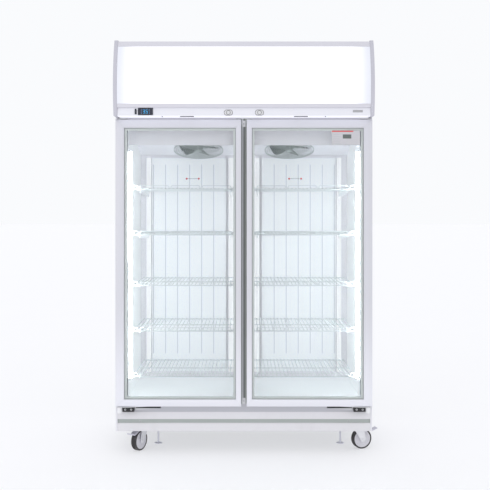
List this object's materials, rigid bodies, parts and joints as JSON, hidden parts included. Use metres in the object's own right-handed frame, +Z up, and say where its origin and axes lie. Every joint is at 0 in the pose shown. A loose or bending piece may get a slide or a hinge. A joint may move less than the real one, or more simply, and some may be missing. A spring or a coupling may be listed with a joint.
{
  "type": "glass door merchandiser",
  "caption": "Upright refrigerated display cabinet with hinged glass doors, wire shelves, a curved lit canopy sign, a control strip and swivel castors with brakes.",
  "frame": {"origin": "on the floor, under the middle of the box that bounds the whole object; the right brake pedal stands out, so the cabinet's own middle is 21 mm to the left of it", "axes": "+X to the right as the user faces the doors, -Y towards the user, +Z up"},
  "size_m": [1.2922, 0.7542, 1.995],
  "materials": {
    "painted_white": "satin powder coat",
    "door_frame": "satin lavender grey coat",
    "liner_white": "satin white",
    "galvanised": "plain zinc",
    "mullion_grey": "satin",
    "foam": "rigid closed-cell foam",
    "glass": "clear",
    "gasket": "matt grey",
    "sign_acrylic": "opal, lit from behind",
    "canopy_plastic": "pale grey moulding",
    "fascia": "satin",
    "dark_plastic": "gloss",
    "black_iron": "black enamel",
    "chrome": "polished",
    "shelf_wire": "white dipped wire",
    "light_strip": "clear anodised",
    "coil": "mill",
    "fan_black": "moulded",
    "guard_wire": "grey",
    "motor_steel": "grey",
    "castor_zinc": "bright zinc",
    "castor_rubber": "dark tread on a light hub",
    "pedal_grey": "pale grey",
    "gland_black": "black",
    "screws": "bright zinc"
  },
  "bodies": {
    "cabinet": {"side_panels": "painted_white", "rear_panel": "galvanised", "deck_sheets": "galvanised", "base_pan": "galvanised", "insulation_foam": "foam", "inner_liner": "liner_white", "face_frame": "mullion_grey", "kick_panel": "painted_white", "hinge_brackets": "castor_zinc", "closer_blocks": "black_iron", "canopy_ends": "canopy_plastic", "canopy_rails": "canopy_plastic", "sign_panel": "sign_acrylic", "sign_light_tray": "liner_white", "control_fascia": "fascia", "lock_escutcheons": "chrome", "controller": "dark_plastic", "shelf_level_1": "shelf_wire", "shelf_level_2": "shelf_wire", "shelf_level_3": "shelf_wire", "shelf_level_4": "shelf_wire", "shelf_level_5": "shelf_wire", "shelf_brackets": "liner_white", "shelf_standards": "liner_white", "duct_panels": "liner_white", "interior_light_strips": "light_strip", "evaporator_cover": "liner_white", "evaporator_coil": "coil", "fan_guards": "guard_wire", "fan_motors": "motor_steel", "condenser_coil": "coil", "compressor": "black_iron", "machine_cover": "painted_white", "cord_gland": "gland_black", "castor_plates": "castor_zinc", "fasteners": "screws"},
    "door_left": {"door_frame_left": "door_frame", "door_glass_left": "glass", "door_gasket_left": "gasket"},
    "door_right": {"door_frame_right": "door_frame", "door_glass_right": "glass", "door_gasket_right": "gasket"},
    "light_switch": {"light_switch_rocker": "dark_plastic"},
    "lock_left": {"lock_barrel_left": "chrome"},
    "lock_right": {"lock_barrel_right": "chrome"},
    "evaporator_fan_left": {"evaporator_fan_left": "fan_black"},
    "evaporator_fan_right": {"evaporator_fan_right": "fan_black"},
    "condenser_fan": {"condenser_fan": "fan_black"},
    "levelling_foot_left": {"levelling_foot_left": "castor_zinc"},
    "levelling_foot_right": {"levelling_foot_right": "castor_zinc"},
    "castor_fork_front_left": {"castor_fork_front_left": "castor_zinc"},
    "castor_wheel_front_left": {"castor_wheel_front_left": "castor_rubber"},
    "brake_pedal_left": {"brake_pedal_left": "pedal_grey"},
    "castor_fork_front_right": {"castor_fork_front_right": "castor_zinc"},
    "castor_wheel_front_right": {"castor_wheel_front_right": "castor_rubber"},
    "brake_pedal_right": {"brake_pedal_right": "pedal_grey"},
    "castor_fork_rear_left": {"castor_fork_rear_left": "castor_zinc"},
    "castor_wheel_rear_left": {"castor_wheel_rear_left": "castor_rubber"},
    "castor_fork_rear_right": {"castor_fork_rear_right": "castor_zinc"},
    "castor_wheel_rear_right": {"castor_wheel_rear_right": "castor_rubber"}
  },
  "joints": [
    {"name": "door_left_hinge", "type": "hinge", "parent": "cabinet", "child": "door_left", "pos_m": [-0.62112, -0.267, 0.931], "axis": [0, 0, -1], "range_deg": [0, 105], "stiffness_Nm_per_rad": 1.5, "springref_deg": -17.19},
    {"name": "door_right_hinge", "type": "hinge", "parent": "cabinet", "child": "door_right", "pos_m": [0.57888, -0.267, 0.931], "axis": [0, 0, 1], "range_deg": [0, 105], "stiffness_Nm_per_rad": 1.5, "springref_deg": -17.19},
    {"name": "light_switch_rock", "type": "hinge", "parent": "cabinet", "child": "light_switch", "pos_m": [-0.53287, -0.358, 1.652], "axis": [1, 0, 0], "range_deg": [0, 12]},
    {"name": "lock_left_turn", "type": "hinge", "parent": "cabinet", "child": "lock_left", "pos_m": [-0.09462, -0.361, 1.647], "axis": [0, 1, 0], "range_deg": [0, 90]},
    {"name": "lock_right_turn", "type": "hinge", "parent": "cabinet", "child": "lock_right", "pos_m": [0.05238, -0.361, 1.647], "axis": [0, -1, 0], "range_deg": [0, 90]},
    {"name": "evaporator_fan_left_spin", "type": "hinge", "parent": "cabinet", "child": "evaporator_fan_left", "pos_m": [-0.26312, 0.173, 1.52456], "axis": [0, 0.2756, 0.9613], "continuous": true},
    {"name": "evaporator_fan_right_spin", "type": "hinge", "parent": "cabinet", "child": "evaporator_fan_right", "pos_m": [0.22088, 0.173, 1.52456], "axis": [0, 0.2756, 0.9613], "continuous": true},
    {"name": "condenser_fan_spin", "type": "hinge", "parent": "cabinet", "child": "condenser_fan", "pos_m": [-0.29112, 0.2, 1.815], "axis": [0, 1, 0], "continuous": true},
    {"name": "castor_front_left_swivel", "type": "hinge", "parent": "cabinet", "child": "castor_fork_front_left", "pos_m": [-0.52412, -0.147, 0.12], "axis": [0, 0, 1], "continuous": true},
    {"name": "castor_front_left_roll", "type": "hinge", "parent": "castor_fork_front_left", "child": "castor_wheel_front_left", "pos_m": [-0.53861, -0.17326, 0.05], "axis": [0.8755, -0.4833, 0], "continuous": true},
    {"name": "brake_pedal_left_tilt", "type": "hinge", "parent": "castor_fork_front_left", "child": "brake_pedal_left", "pos_m": [-0.54441, -0.18377, 0.104], "axis": [-0.8755, 0.4833, 0], "range_deg": [0, 6]},
    {"name": "castor_front_right_swivel", "type": "hinge", "parent": "cabinet", "child": "castor_fork_front_right", "pos_m": [0.53488, -0.147, 0.12], "axis": [0, 0, 1], "continuous": true},
    {"name": "castor_front_right_roll", "type": "hinge", "parent": "castor_fork_front_right", "child": "castor_wheel_front_right", "pos_m": [0.56359, -0.13828, 0.05], "axis": [-0.2907, 0.9568, 0], "continuous": true},
    {"name": "brake_pedal_right_tilt", "type": "hinge", "parent": "castor_fork_front_right", "child": "brake_pedal_right", "pos_m": [0.57507, -0.13479, 0.104], "axis": [0.2907, -0.9568, 0], "range_deg": [0, 6]},
    {"name": "castor_rear_left_swivel", "type": "hinge", "parent": "cabinet", "child": "castor_fork_rear_left", "pos_m": [-0.52412, 0.3, 0.12], "axis": [0, 0, 1], "continuous": true},
    {"name": "castor_rear_left_roll", "type": "hinge", "parent": "castor_fork_rear_left", "child": "castor_wheel_rear_left", "pos_m": [-0.52933, 0.27046, 0.05], "axis": [0.9848, -0.1736, 0], "continuous": true},
    {"name": "castor_rear_right_swivel", "type": "hinge", "parent": "cabinet", "child": "castor_fork_rear_right", "pos_m": [0.53488, 0.3, 0.12], "axis": [0, 0, 1], "continuous": true},
    {"name": "castor_rear_right_roll", "type": "hinge", "parent": "castor_fork_rear_right", "child": "castor_wheel_rear_right", "pos_m": [0.54265, 0.27102, 0.05], "axis": [0.9659, 0.2588, 0], "continuous": true},
    {"name": "levelling_foot_left_wind", "type": "slide", "parent": "cabinet", "child": "levelling_foot_left", "axis": [0, 0, 1], "range_m": [0, 0.028]},
    {"name": "levelling_foot_right_wind", "type": "slide", "parent": "cabinet", "child": "levelling_foot_right", "axis": [0, 0, 1], "range_m": [0, 0.028]}
  ]
}
